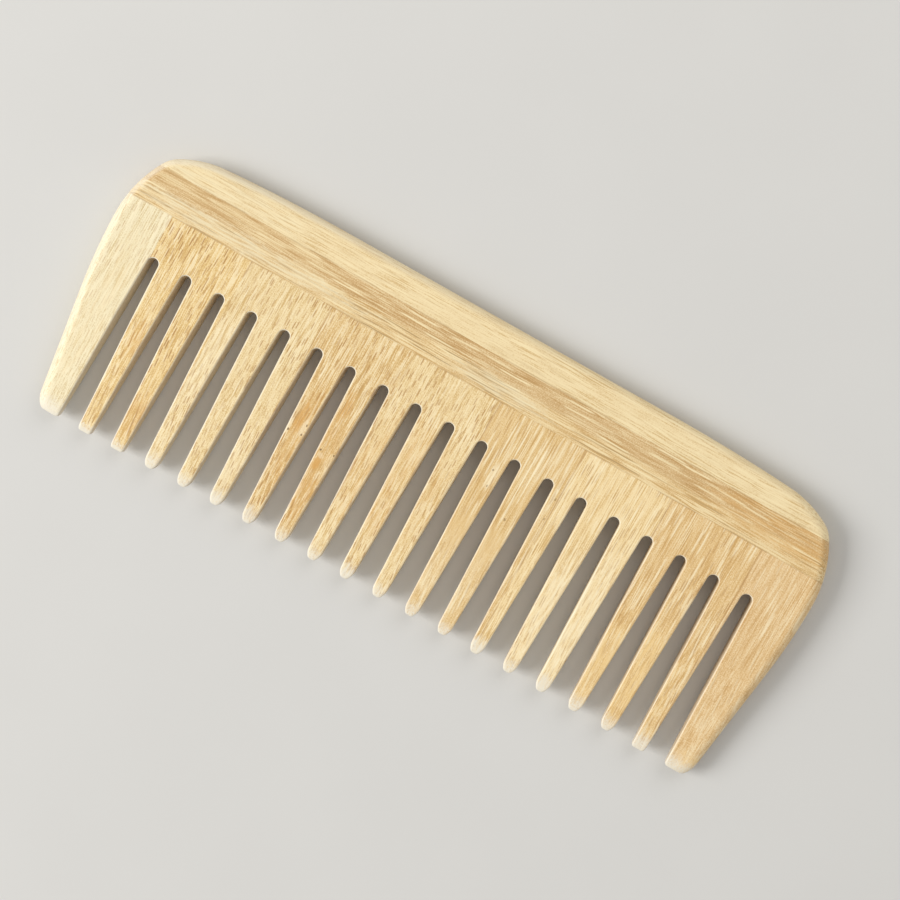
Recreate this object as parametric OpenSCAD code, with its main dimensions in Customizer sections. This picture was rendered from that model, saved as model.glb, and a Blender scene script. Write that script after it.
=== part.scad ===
// Wide-toothed comb cut from a board of glued bamboo strips.
// It lies on its back face. +X runs along the comb, +Y points to the spine, -Y to the tips, +Z is up.
// The origin is the middle of the comb's outline, on the face that it lies on.

/* [Comb] */
// Length of the comb, end to end
comb_l = 148.4; // [144:0.2:156]
// Height of the comb, from the spine's edge to the tips of the end teeth
comb_h = 56.8; // [54:0.2:62]
// Thickness of the board
board_t = 5.2; // [4.6:0.1:6.4]
// Radius of the rounding round the outer edge
rim_r = 2; // [1:0.1:2.1]

/* [Strips] */
// Height of the outer strip of the spine
spine_edge_h = 6.1; // [4:0.1:8]
// Height of the inner strip of the spine
spine_inner_h = 7.2; // [5:0.1:9]
// Glue line between two strips
glue = 0.04; // [0.02:0.01:0.1]

/* [Teeth] */
// Number of slots
slots = 19; // [15:1:19]
// From the comb's end to the middle of its first slot
end_w = 11.2; // [11:0.1:12.6]
// From the spine's edge to the end of the middle slot
web_h = 21.2; // [19:0.1:23]
// How much further from the spine the outermost slots and teeth end than the middle ones
arch = 0.5; // [0:0.1:1]
// Width of a slot at its round end
slot_w = 2.2; // [1.8:0.1:2.6]
// Width of a slot between the tips
mouth_w = 4.5; // [3.8:0.1:4.8]
// Length of the stretch over which the teeth get thinner
taper_l = 22.8; // [16:0.2:28]
// Thickness of the teeth at their tips
tip_t = 2.4; // [2:0.1:3.2]
// Length of the rounding at a tooth's tip
tip_l = 1.4; // [1:0.1:2]
// Radius to which the edges of the slots are sanded
edge_r = 0.45; // [0.2:0.05:0.6]

/* [Hidden] */
// Widths of the strips that hold the teeth, from left to right. The last one takes what is left.
STRIP_W = [10.2, 17.1, 17.2, 17.7, 18.1, 18, 18.2, 18.6];
strips = len(STRIP_W) + 1;

// Tones of the bamboo
PALE = "#ecd5ab";
CREAM = "#e5cb9e";
TAN = "#dcb887";
ROSY = "#dcbd98";
STRIP_TONE = [PALE, TAN, CREAM, TAN, CREAM, TAN, CREAM, TAN, ROSY];

// Outline of the upper half, from the middle of the spine round the corner to the widest point:
// a row for each arc, as [radius, turn in degrees]. The turns add up to 90.
CORNER = [[360, 4], [21, 25], [6, 30], [24, 31]];
// Outline of the end tooth's outer side below the widest point
side_r = 110;
side_turn = 7.5;
// Outline of the end tooth's outer corner
foot_r = 5;
foot_turn = 35;
toe_r = 0.8;
// The outer edge's rounding takes at most this share of half the board's thickness
rim_share = 0.8;
// Shares of a tooth's width and thickness that its tip's rounding leaves flat
tip_flat = 0.4;
end_tip_flat = 0.75;
tip_thin = 0.5;
// The tip's rounding starts this far outside the tooth's sides and faces
tip_ease_w = 0.3;
tip_ease_t = 0.2;
// How far a chord may lie inside its arc
chord_error = 0.03;
// Steps from an edge's face to its side, round its rounding
rim_steps = 3;
edge_steps = 2;
// Steps round a slot's end, along a tip's rounding, and round a tip
end_steps = 8;
tip_steps = 3;
tip_sides = 16;

spine_y = comb_h / 2;
tips_y = -comb_h / 2;
edge_seam_y = spine_y - spine_edge_h;
seam_y = edge_seam_y - spine_inner_h;
slot_end_y = spine_y - web_h;
taper_y = tips_y + taper_l;
mid_z = board_t / 2;
pitch = (comb_l - 2 * end_w) / (slots - 1);
last_x = pitch * (slots - 1) / 2;
// Sideways growth of a slot per millimetre of its length, on each side
slot_lean = (mouth_w - slot_w) / 2 / (slot_end_y - tips_y);
lean_deg = atan(slot_lean);
slot_r = slot_w / 2;
// The slots run out this far past the tips, and above and below the board
clear = 1;
// The slots' edges cross the board's faces and its line of taper, with this much to spare
lap = 0.2;

// Half the thickness of the board at a distance along Y
function half_t(y) = y >= taper_y
    ? board_t / 2
    : tip_t / 2 + (board_t - tip_t) / 2 * (y - tips_y) / taper_l;

// Distance of a slot's end or a tooth's tip from the middle one's, at a place along X
function arch_at(x) = arch * pow(x / last_x, 2);

// The outline is a chain of arcs. A point is [x, y, heading], and the heading turns clockwise from +X.
function turned(p, r, a) = [
    p.x + r * (sin(p.z + a) - sin(p.z)),
    p.y + r * (cos(p.z + a) - cos(p.z)),
    p.z + a
];
function arc_steps(r, a) = ceil(a / (2 * acos(1 - chord_error / r)));
function arc(p, r, a) = let (n = arc_steps(r, a)) [for (i = [1 : n]) turned(p, r, a * i / n)];
function chain(p, rows, i = 0) = i == len(rows)
    ? []
    : let (run = arc(p, rows[i][0], rows[i][1])) concat(run, chain(run[len(run) - 1], rows, i + 1));

// The right half of the outline, from the middle of the spine to the end tooth's tip
corner_run = chain([0, spine_y, 0], CORNER);
corner_end = corner_run[len(corner_run) - 1];
shift_x = comb_l / 2 - corner_end.x;
upper_run = [for (p = concat([[0, spine_y, 0]], corner_run)) p + [shift_x, 0, 0]];
side_run = arc(upper_run[len(upper_run) - 1], side_r, side_turn);
side_end = side_run[len(side_run) - 1];
side_heading = 90 + side_turn;
toe_turn = 180 - side_heading - foot_turn;
foot_run = chain([0, 0, side_heading], [[foot_r, foot_turn], [toe_r, toe_turn]]);
foot_start_y = tips_y - foot_run[len(foot_run) - 1].y;
foot_start = [
    side_end.x - (side_end.y - foot_start_y) * tan(side_turn),
    foot_start_y,
    side_heading
];
outline = concat(upper_run, side_run, [foot_start], [for (p = foot_run) p + [foot_start.x, foot_start.y, 0]]);

// Solid over the hull of a list of points, which a fan of triangles carries
module convex(points)
    hull() polyhedron(points = points, faces = [for (i = [1 : len(points) - 2]) [0, i, i + 1]]);

// Points round the rounded rim at a place of the outline, on both ends of the comb and both faces
function rim_at(p) =
    let (r = min(rim_r, rim_share * half_t(p.y)))
    [
        for (j = [0 : rim_steps])
        let (
            a = 90 * j / rim_steps,
            inset = r * (1 - sin(a)),
            x = p.x - inset * sin(p.z),
            y = p.y - inset * cos(p.z),
            z = half_t(y) - r * (1 - cos(a))
        )
        for (side = [-1, 1], face = [-1, 1]) [side * x, y, mid_z + face * z]
    ];

// The whole board, before it is cut into strips and slots. The flat of its faces ends at the shoulder.
module board() {
    shoulder = [lookup(taper_y, [for (p = concat(side_run, [foot_start])) [p.y, p.x]]), taper_y, 90];
    convex([for (p = concat(outline, [shoulder])) each rim_at(p)]);
}

// A slot's outline grown by a margin: round its end, then both sides where the taper starts and past
// the tips
function slot_side(grow, y_end, y) = slot_r + grow + slot_lean * (y_end - slot_r - y);
function slot_plan(grow, y_end) =
    let (w = slot_side(grow, y_end, taper_y - lap), w_out = slot_side(grow, y_end, tips_y - clear))
    concat(
        [for (i = [0 : end_steps])
            let (a = lean_deg + (180 - 2 * lean_deg) * i / end_steps)
            [(slot_r + grow) * cos(a), y_end - slot_r + (slot_r + grow) * sin(a)]],
        [[-w, taper_y - lap], [-w_out, tips_y - clear], [w_out, tips_y - clear], [w, taper_y - lap]]
    );

// One slot, at a place along X, with its edges sanded round on both faces. It is a stack of outlines
// from under the back to above the front, each at a depth below its face.
module slot(x) {
    y_end = slot_end_y - arch_at(x);
    sanded = [
        for (i = [0 : edge_steps])
        let (a = 90 * i / edge_steps)
        [edge_r * (1 - cos(a)), edge_r * (1 - sin(a))]
    ];
    // The outermost level carries the slope of the first facet on through the face
    slope = (sanded[0][1] - sanded[1][1]) / (sanded[1][0] - sanded[0][0]);
    outer = [-lap, edge_r + slope * lap];
    half = concat([outer], [for (i = [1 : edge_steps]) sanded[i]]);
    stack = concat([for (v = half) [-1, v]], [for (i = [edge_steps : -1 : 0]) [1, half[i]]]);
    n = len(slot_plan(0, y_end));
    points = [
        for (row = stack, p = slot_plan(row[1][1], y_end))
        [x + p.x, p.y, mid_z + row[0] * (half_t(min(p.y, taper_y - lap) + lap) - row[1][0])]
    ];
    top = (len(stack) - 1) * n;
    cap = concat([for (i = [0 : end_steps]) i], [end_steps + 1, end_steps + 4]);
    taper_cap = [for (i = [1 : 4]) end_steps + i];
    sides = [
        for (j = [0 : len(stack) - 2], i = [0 : n - 1])
        let (a = j * n + i, b = j * n + (i + 1) % n)
        [a, a + n, b + n, b]
    ];
    caps = [
        cap,
        taper_cap,
        [for (i = [len(cap) - 1 : -1 : 0]) top + cap[i]],
        [for (i = [3 : -1 : 0]) top + taper_cap[i]]
    ];
    polyhedron(points = points, faces = concat(sides, caps));
}

// Rounded rectangle across a tooth, as a superellipse round a place [x, y]
function tip_ring(x, y, half_w, half_h) = [
    for (i = [0 : tip_sides - 1])
    let (c = cos(360 * i / tip_sides), s = sin(360 * i / tip_sides))
    [x + half_w * sign(c) * sqrt(abs(c)), y, mid_z + half_h * sign(s) * sqrt(abs(s))]
];

// Space that the rounded tip of a tooth between two sides fills, widening to the tooth's root.
// flat is the share of the width that is left at the tip.
module tip_space(x_left, x_right, flat) {
    x = (x_left + x_right) / 2;
    half_w = (x_right - x_left) / 2;
    tip_y = tips_y + arch - arch_at(x);
    tip = [
        for (i = [0 : tip_steps])
        let (
            a = 90 * i / tip_steps,
            w = half_w * (flat + (1 - flat) * cos(a)),
            h = (tip_t / 2 + tip_ease_t) * (tip_thin + (1 - tip_thin) * cos(a))
        )
        each tip_ring(x, tip_y + tip_l * (1 - sin(a)), w, h)
    ];
    convex(concat(tip, tip_ring(x, slot_end_y, half_w + pitch, board_t)));
}

// Left edge of a strip, with the comb's left end as the first
function glue_x(i) = i == 0 ? -comb_l / 2 : glue_x(i - 1) + STRIP_W[i - 1];

// A strip of the plate with the teeth that it holds, counted from 0 at the left
module tooth_strip(i) {
    first = i == 0;
    last = i == strips - 1;
    x0 = first ? -comb_l : glue_x(i) + glue / 2;
    x1 = last ? comb_l : glue_x(i + 1) - glue / 2;
    // From a tooth's middle to where its tip's rounding starts
    half_w = (pitch - mouth_w) / 2 + tip_ease_w;
    // The end tooth's inner side at the tip
    end_x = last_x + mouth_w / 2 - tip_ease_w;
    color(STRIP_TONE[i])
        difference() {
            intersection() {
                board();
                translate([x0, tips_y - clear, -clear])
                    cube([x1 - x0, seam_y - glue / 2 - tips_y + clear, board_t + 2 * clear]);
                union() {
                    translate([x0, slot_end_y - arch - slot_r, -clear])
                        cube([x1 - x0, comb_h, board_t + 2 * clear]);
                    for (k = [0 : slots - 2])
                        let (x = (k + 0.5) * pitch - last_x)
                        if (x > x0 - pitch && x < x1 + pitch) tip_space(x - half_w, x + half_w, tip_flat);
                    if (first) tip_space(-foot_start.x, -end_x, end_tip_flat);
                    if (last) tip_space(end_x, foot_start.x, end_tip_flat);
                }
            }
            for (k = [0 : slots - 1])
                let (x = k * pitch - last_x)
                if (x > x0 - pitch && x < x1 + pitch) slot(x);
        }
}

// A strip of the spine, between two heights
module spine_strip(y0, y1)
    intersection() {
        board();
        translate([-comb_l, y0, -clear]) cube([2 * comb_l, y1 - y0, board_t + 2 * clear]);
    }

module spine_edge_strip() color(CREAM) spine_strip(edge_seam_y + glue / 2, spine_y + clear);
module spine_inner_strip() color(ROSY) spine_strip(seam_y + glue / 2, edge_seam_y - glue / 2);

spine_edge_strip();
spine_inner_strip();
for (i = [1 : strips])
    tooth_strip(i - 1);
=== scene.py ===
import math
from collections import namedtuple

import bmesh
import bpy
from bpy.props import FloatProperty, FloatVectorProperty, PointerProperty
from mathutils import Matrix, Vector


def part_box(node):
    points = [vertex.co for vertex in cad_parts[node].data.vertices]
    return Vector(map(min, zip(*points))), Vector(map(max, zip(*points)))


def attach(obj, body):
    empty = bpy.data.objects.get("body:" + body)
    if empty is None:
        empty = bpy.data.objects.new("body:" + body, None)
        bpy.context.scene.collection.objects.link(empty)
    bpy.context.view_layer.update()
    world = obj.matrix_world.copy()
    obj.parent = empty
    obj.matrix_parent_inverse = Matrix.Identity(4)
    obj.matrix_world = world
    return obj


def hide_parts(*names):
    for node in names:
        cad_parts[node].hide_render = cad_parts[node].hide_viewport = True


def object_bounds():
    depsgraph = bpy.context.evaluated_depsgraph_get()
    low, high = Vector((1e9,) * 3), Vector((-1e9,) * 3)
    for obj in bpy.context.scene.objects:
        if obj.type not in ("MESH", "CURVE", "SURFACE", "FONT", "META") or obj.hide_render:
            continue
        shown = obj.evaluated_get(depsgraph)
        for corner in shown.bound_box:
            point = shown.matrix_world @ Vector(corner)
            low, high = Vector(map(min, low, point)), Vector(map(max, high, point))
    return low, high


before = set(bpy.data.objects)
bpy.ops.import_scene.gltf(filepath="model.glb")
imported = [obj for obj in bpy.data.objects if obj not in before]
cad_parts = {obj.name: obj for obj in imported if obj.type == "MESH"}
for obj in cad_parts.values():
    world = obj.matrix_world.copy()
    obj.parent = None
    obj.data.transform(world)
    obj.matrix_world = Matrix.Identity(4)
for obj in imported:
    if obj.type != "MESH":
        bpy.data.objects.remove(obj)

bl_info = {
    "name": "Bamboo Comb",
    "version": (1, 0, 0),
    "blender": (4, 5, 0),
    "location": "3D View > Sidebar > Comb",
    "description": "Cuts a wide-toothed comb from a board of glued bamboo strips and sets it on a pale floor",
    "category": "Object",
}

MM = 0.001
CAD_BOX = [list(corner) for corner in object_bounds()]
LOW = Vector(CAD_BOX[0])
HIGH = Vector(CAD_BOX[1])
SPINE_Y = HIGH.y
TIPS_Y = LOW.y
BACK_Z = LOW.z
FRONT_Z = HIGH.z

# The comb's outline. Headings and turns are in degrees, clockwise, and a heading of 0 is along +X

Arc = namedtuple("Arc", "radius turn")
SPINE_CORNER = [Arc(360 * MM, 4), Arc(21 * MM, 25), Arc(6 * MM, 30), Arc(24 * MM, 31)]
SIDE = Arc(110 * MM, 7.5)
FOOT = Arc(5 * MM, 35)
TOE_R = 0.8 * MM
DOWN = 90

# The tips: a shoulder arc off the tooth's side, and the nose's radius
Tip = namedtuple("Tip", "shoulder nose_r")
ROUND_TIP = Tip(Arc(3.2 * MM, 31.5), 0.7 * MM)
SQUARE_TIP = Tip(Arc(3.2 * MM, 10), 0.5 * MM)
END_TIP = Tip(Arc(6 * MM, 8), 0.6 * MM)
SQUARE_TEETH = (2, 3, 19)

# How the tips round off in thickness: over this length, down to this share
Thinning = namedtuple("Thinning", "length keep")
TIP_THINNING = [Thinning(2.4 * MM, 0.92), Thinning(1.5 * MM, 0.88), Thinning(0.8 * MM, 0.8)]

# How far each strip reaches into its glue line, so that a seam shows as finely as it does when glued
SEAM_FILL = 0.017 * MM
CHORD_ERROR = 0.004 * MM
CUT_ERROR = 0.0002 * MM
SLOTS = 19
RIM_SEGMENTS = 8
EDGE_SEGMENTS = 4
EASING_STEPS = 5
# An edge sharper than the first angle is eased, and one sharper than the second stays sharp in the shading
CREASE = math.radians(35)
SHARP = CREASE + math.radians(5)
BOARD = "comb_board"


def length_prop(name, description, millimetres):
    return FloatProperty(name=name, description=description, default=millimetres * MM, min=0,
                         subtype="DISTANCE", unit="LENGTH", precision=5)


def colour_prop(name, description, default):
    return FloatVectorProperty(name=name, description=description, default=default, size=3,
                               min=0, max=1, subtype="COLOR")


def power_prop(name, description, watts):
    return FloatProperty(name=name, description=description, default=watts, min=0,
                         subtype="POWER", unit="POWER")


class CombShape(bpy.types.PropertyGroup):
    """Sizes of the comb's cuts and roundings"""
    rim_r: length_prop("Rim radius", "Rounding of the board's rim on both faces", 2)
    edge_r: length_prop("Edge easing", "Sanded rounding of the teeth's edges by the slots' ends", 0.3)
    tip_edge_r: length_prop("Tip easing", "Rounding that those edges reach at the tips", 0.45)
    web_h: length_prop("Spine to slots", "From the spine's edge to the middle slot's end", 21.2)
    arch: length_prop("Arch", "How far the tooth tips and slot ends curve over the comb", 0.5)
    pitch: length_prop("Pitch", "From one slot to the next", 7)
    slot_w: length_prop("Slot width", "Width of a slot at its closed end", 2.2)
    mouth_w: length_prop("Mouth width", "Width that a slot's sides reach at the tips", 4.5)
    taper_l: length_prop("Taper length", "Length over which the teeth thin towards the tips", 22.8)
    tip_t: length_prop("Tip thickness", "Thickness of the teeth where the tips start to round", 2.4)


class BambooTones(bpy.types.PropertyGroup):
    """Colour of each strip of bamboo, and of the marks in it"""
    spine_edge_strip: colour_prop("Spine edge", "Pale outer strip along the spine", (0.85, 0.69, 0.41))
    spine_inner_strip: colour_prop("Spine inner", "Browner strip beside it", (0.65, 0.445, 0.214))
    spine_inner_low: colour_prop("Spine inner, low", "Its yellower half, by the teeth", (0.77, 0.57, 0.295))
    tooth_strip_1: colour_prop("Strip 1", "Upright strip at the left end", (0.86, 0.77, 0.53))
    tooth_strip_2: colour_prop("Strip 2", "Upright strip", (0.815, 0.605, 0.285))
    tooth_strip_3: colour_prop("Strip 3", "Upright strip", (0.825, 0.65, 0.355))
    tooth_strip_4: colour_prop("Strip 4", "Upright strip", (0.77, 0.56, 0.27))
    tooth_strip_5: colour_prop("Strip 5", "Upright strip", (0.84, 0.655, 0.355))
    tooth_strip_6: colour_prop("Strip 6", "Upright strip", (0.77, 0.55, 0.26))
    tooth_strip_7: colour_prop("Strip 7", "Upright strip", (0.88, 0.685, 0.375))
    tooth_strip_8: colour_prop("Strip 8", "Upright strip", (0.77, 0.54, 0.255))
    tooth_strip_9: colour_prop("Strip 9", "Upright strip at the right end", (0.78, 0.55, 0.28))
    deep: colour_prop("Shade", "What the darker bands multiply their strip's tone by", (0.78, 0.68, 0.52))
    dash: colour_prop("Dashes", "Short dark fibre bundles", (0.46, 0.25, 0.085))
    speck: colour_prop("Specks", "Dark specks at the nodes of the cane", (0.20, 0.10, 0.03))
    spine_line: colour_prop("Spine lines", "Dark fibre lines along the spine", (0.48, 0.32, 0.14))
    spine_pale: colour_prop("Spine pale lines", "Pale fibre lines along the spine", (0.93, 0.79, 0.49))
    amber: colour_prop("Stains", "Warm stains by the nodes of the cane", (0.68, 0.37, 0.10))
    honey: colour_prop("Honey", "Warm pale tone of the last teeth", (0.90, 0.66, 0.31))
    pale_fibre: colour_prop("Pale fibres", "Long pale fibre lines", (0.98, 0.87, 0.61))
    # The tips tone also paints the highlight on edges that face left and towards the rim's left end
    tip: colour_prop("Tips", "Sanded tips and eased edges", (0.84, 0.79, 0.67))
    # The sawn sides tone is partly their own dull tone and partly painted shade for the inside of the narrow
    # slots
    sawn_and_shaded: colour_prop("Sawn sides", "Dull sides of the slots", (0.60, 0.51, 0.39))


class CombStage(bpy.types.PropertyGroup):
    """Floor, light and camera"""
    floor_tone: colour_prop("Floor", "Colour of the floor", (0.66, 0.66, 0.65))
    key_power: power_prop("Key light", "Strength of the main light", 13.4)
    fill_power: power_prop("Fill light", "Strength of the second light", 1.5)
    sky_strength: FloatProperty(name="Sky", description="Strength of the even light all round",
                                default=0.48, min=0, max=5)
    camera_place: FloatVectorProperty(name="Camera", description="Where the camera stands", size=3,
                                      default=(0.01817, 0.02347, 0.36387),
                                      subtype="TRANSLATION", unit="LENGTH")
    camera_turn: FloatVectorProperty(name="Camera turn", description="How the camera is turned", size=3,
                                     default=[math.radians(angle) for angle in (-1.6204, 3.8344, 29.4423)],
                                     subtype="EULER", unit="ROTATION")
    lens_mm: FloatProperty(name="Lens", description="Focal length in millimetres",
                           default=78, min=10, max=300)


# Modelling helpers

def select_only(piece):
    bpy.ops.object.select_all(action="DESELECT")
    piece.select_set(True)
    bpy.context.view_layer.objects.active = piece


def edit(piece, mode="VERT", action="SELECT"):
    """Opens a piece in edit mode, with all or nothing of it selected"""
    select_only(piece)
    bpy.ops.object.mode_set(mode="EDIT")
    bpy.ops.mesh.select_mode(type=mode)
    bpy.ops.mesh.select_all(action=action)


def leave_edit():
    bpy.ops.object.mode_set(mode="OBJECT")


def apply_modifier(piece, kind, **settings):
    select_only(piece)
    modifier = piece.modifiers.new(kind.title(), kind)
    for name, value in settings.items():
        setattr(modifier, name, value)
    bpy.ops.object.modifier_apply(modifier=modifier.name)


def bisect(piece, place, normal, **cut):
    """Cuts a piece along a plane. A cut can fill the plane and clear one side of it"""
    edit(piece)
    bpy.ops.mesh.bisect(plane_co=place, plane_no=normal, threshold=CUT_ERROR, **cut)
    leave_edit()


def arc_step(arc, heading):
    """Where an arc that starts at the origin ends. A turn below 0 is anticlockwise"""
    side = math.copysign(arc.radius, arc.turn)
    start = math.radians(heading)
    end = math.radians(heading + arc.turn)
    return Vector((side * (math.sin(end) - math.sin(start)), side * (math.cos(end) - math.cos(start)), 0))


def chain_step(chain, heading):
    """Where a chain of tangent arcs that starts at the origin ends"""
    end = Vector()
    for arc in chain:
        end += arc_step(arc, heading)
        heading += arc.turn
    return end


class Pen:
    """Draws an outline in edit mode, from a single point, and makes a prism of it"""

    def __init__(self, name, x, y):
        bpy.ops.object.select_all(action="DESELECT")
        bpy.ops.mesh.primitive_plane_add(size=MM)
        self.piece = bpy.context.object
        self.piece.name = name
        edit(self.piece)
        bpy.ops.mesh.merge(type="CENTER")
        self.at = Vector((x, y, 0))
        bpy.ops.transform.translate(value=self.at)

    def line_to(self, x, y):
        step = Vector((x, y, 0)) - self.at
        bpy.ops.mesh.extrude_vertices_move(TRANSFORM_OT_translate={"value": step})
        self.at += step

    def arcs(self, chain, heading):
        for arc in chain:
            side = math.copysign(arc.radius, arc.turn)
            start = math.radians(heading)
            turn = math.radians(arc.turn)
            centre = self.at - side * Vector((math.sin(start), math.cos(start), 0))
            widest_step = 2 * math.acos(1 - CHORD_ERROR / arc.radius)
            steps = math.ceil(abs(turn) / widest_step)
            bpy.ops.mesh.spin(steps=steps, angle=turn, center=centre, axis=(0, 0, 1))
            self.at += arc_step(arc, heading)
            heading += arc.turn

    def prism(self, bottom, top, mirrored=False):
        """Closes the outline, or mirrors it where half is drawn, fills it and gives it its height"""
        leave_edit()
        if mirrored:
            apply_modifier(self.piece, "MIRROR", use_clip=True, merge_threshold=CHORD_ERROR)
        edit(self.piece)
        bpy.ops.mesh.remove_doubles(threshold=CHORD_ERROR)
        bpy.ops.mesh.edge_face_add()
        bpy.ops.transform.translate(value=(0, 0, bottom))
        bpy.ops.mesh.extrude_region_move(TRANSFORM_OT_translate={"value": (0, 0, top - bottom)})
        bpy.ops.mesh.select_all(action="SELECT")
        bpy.ops.mesh.normals_make_consistent(inside=False)
        leave_edit()
        return self.piece


# The board: the whole comb in one piece, before it is split into its strips

def board_outline():
    """The comb's outline with no slots. Its feet run on below the tips, for the saw to cut"""
    pen = Pen(BOARD, 0, SPINE_Y)
    pen.line_to(HIGH.x - chain_step(SPINE_CORNER, 0).x, SPINE_Y)
    pen.arcs(SPINE_CORNER, 0)
    pen.arcs([SIDE], DOWN)
    side_heading = DOWN + SIDE.turn
    foot_heading = side_heading + FOOT.turn
    toe = Arc(TOE_R, 180 - foot_heading)
    foot_y = TIPS_Y - chain_step([FOOT, toe], side_heading).y
    pen.line_to(pen.at.x - (pen.at.y - foot_y) * math.tan(math.radians(SIDE.turn)), foot_y)
    pen.arcs([FOOT], side_heading)
    run_on = 4 * MM
    pen.line_to(pen.at.x - run_on * math.tan(math.radians(foot_heading - DOWN)), pen.at.y - run_on)
    pen.line_to(0, pen.at.y)
    return pen.prism(BACK_Z, FRONT_Z, mirrored=True)


def round_rim(board, radius):
    edit(board, "EDGE", "DESELECT")
    mesh = bmesh.from_edit_mesh(board.data)
    for edge in mesh.edges:
        first, last = edge.verts
        edge.select = abs(first.co.z - last.co.z) < CHORD_ERROR
    bmesh.update_edit_mesh(board.data)
    bpy.ops.mesh.bevel(offset=radius, segments=RIM_SEGMENTS, affect="EDGES", clamp_overlap=False)
    leave_edit()


def tip_chain(tip, side_heading):
    """The arcs from a tooth's side onto the flat of its tip"""
    return [Arc(tip.shoulder.radius, -tip.shoulder.turn), Arc(tip.nose_r, tip.shoulder.turn - side_heading)]


def tooth_tip(tooth):
    """The tip of a tooth, counted from the left end"""
    if tooth in (1, SLOTS + 1):
        return END_TIP
    return SQUARE_TIP if tooth in SQUARE_TEETH else ROUND_TIP


def saw_air(shape):
    """What the saw takes away: the slots and the air round the tips, as one prism"""
    slot_r = shape.slot_w / 2
    end_y = SPINE_Y - shape.web_h
    last_x = (SLOTS - 1) / 2 * shape.pitch
    lean = math.atan((shape.mouth_w - shape.slot_w) / 2 / (end_y - TIPS_Y))
    side_heading = DOWN - math.degrees(lean)
    margin = 8 * MM

    def drop(x):
        return shape.arch * (x / last_x) ** 2

    def half_width(x, y):
        """Half the width, at y, of the slot whose centre line is at x"""
        centre_y = end_y - drop(x) - slot_r
        return slot_r / math.cos(lean) + (centre_y - y) * math.tan(lean)

    pen = Pen("comb_saw", LOW.x - margin, TIPS_Y - margin)
    pen.line_to(LOW.x - margin, TIPS_Y)
    for slot in range(SLOTS):
        x = slot * shape.pitch - last_x
        left_chain = tip_chain(tooth_tip(slot + 1), side_heading)
        left_step = chain_step(left_chain, side_heading)
        pen.line_to(x - half_width(x, pen.at.y - left_step.y) - left_step.x, pen.at.y)
        pen.arcs(reversed(left_chain), 0)
        pen.line_to(x - slot_r * math.cos(lean), end_y - drop(x) - slot_r * (1 - math.sin(lean)))
        pen.arcs([Arc(slot_r, 2 * side_heading)], -side_heading)
        right_chain = tip_chain(tooth_tip(slot + 2), side_heading)
        right_step = chain_step(right_chain, side_heading)
        tip_y = TIPS_Y
        if slot + 1 < SLOTS:
            tip_y += shape.arch - drop(x + shape.pitch / 2)
        side_end_y = tip_y - right_step.y
        pen.line_to(x + half_width(x, side_end_y), side_end_y)
        pen.arcs(right_chain, side_heading)
    pen.line_to(HIGH.x + margin, TIPS_Y)
    pen.line_to(HIGH.x + margin, TIPS_Y - margin)
    pen.line_to(LOW.x - margin, TIPS_Y - margin)
    return pen.prism(BACK_Z - MM, FRONT_Z + MM)


def ease_edges(board, taper_l, radius, tip_radius):
    """Rounds the sawn edges, in steps from one radius above the taper to another at the tips"""
    step_l = taper_l / EASING_STEPS
    for step in range(EASING_STEPS):
        bisect(board, (0, TIPS_Y + taper_l - step * step_l, 0), (0, 1, 0))
    edit(board, "EDGE", "DESELECT")
    for step in range(EASING_STEPS + 1):
        high_y = TIPS_Y + taper_l - (step - 1) * step_l if step else HIGH.y
        low_y = TIPS_Y + taper_l - step * step_l
        mesh = bmesh.from_edit_mesh(board.data)
        for edge in mesh.edges:
            middle_y = (edge.verts[0].co.y + edge.verts[1].co.y) / 2
            edge.select = low_y - CUT_ERROR < middle_y < high_y and edge.calc_face_angle(0) > CREASE
        bmesh.update_edit_mesh(board.data)
        eased = radius + (tip_radius - radius) * step / EASING_STEPS
        bpy.ops.transform.edge_bevelweight(value=eased / tip_radius)
    leave_edit()
    apply_modifier(board, "BEVEL", limit_method="WEIGHT", width=tip_radius, segments=EDGE_SEGMENTS,
                   use_clamp_overlap=False, miter_outer="MITER_SHARP")


def thin(board, length, keep):
    """Thins the board evenly on both faces, from a line across the teeth down to the tips"""
    line_y = TIPS_Y + length
    bisect(board, (0, line_y, 0), (0, 1, 0))
    bpy.ops.object.select_all(action="DESELECT")
    bpy.ops.object.empty_add(location=(0, line_y, (BACK_Z + FRONT_Z) / 2))
    pivot = bpy.context.object
    reach = [vertex.co.y for vertex in board.data.vertices]
    share = (line_y - min(reach)) / (max(reach) - min(reach))
    apply_modifier(board, "SIMPLE_DEFORM", deform_method="TAPER", deform_axis="Y", origin=pivot,
                   lock_x=True, limits=(0, share), factor=(1 - keep) * (line_y - min(reach)) / length)
    select_only(pivot)
    bpy.ops.object.delete()


class COMB_OT_board(bpy.types.Operator):
    """Cut the comb in one piece: outline, rounded rim, slots, eased edges and thinned teeth"""
    bl_idname = "comb.board"
    bl_label = "Cut the board"
    bl_options = {"REGISTER", "UNDO"}

    def execute(self, context):
        shape = context.scene.comb_shape
        board = board_outline()
        round_rim(board, shape.rim_r)
        air = saw_air(shape)
        apply_modifier(board, "BOOLEAN", operation="DIFFERENCE", solver="EXACT", object=air)
        select_only(air)
        bpy.ops.object.delete()
        ease_edges(board, shape.taper_l, shape.edge_r, shape.tip_edge_r)
        thin(board, shape.taper_l, shape.tip_t / (FRONT_Z - BACK_Z))
        for step in TIP_THINNING:
            thin(board, step.length, step.keep)
        return {"FINISHED"}


# Bamboo

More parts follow.
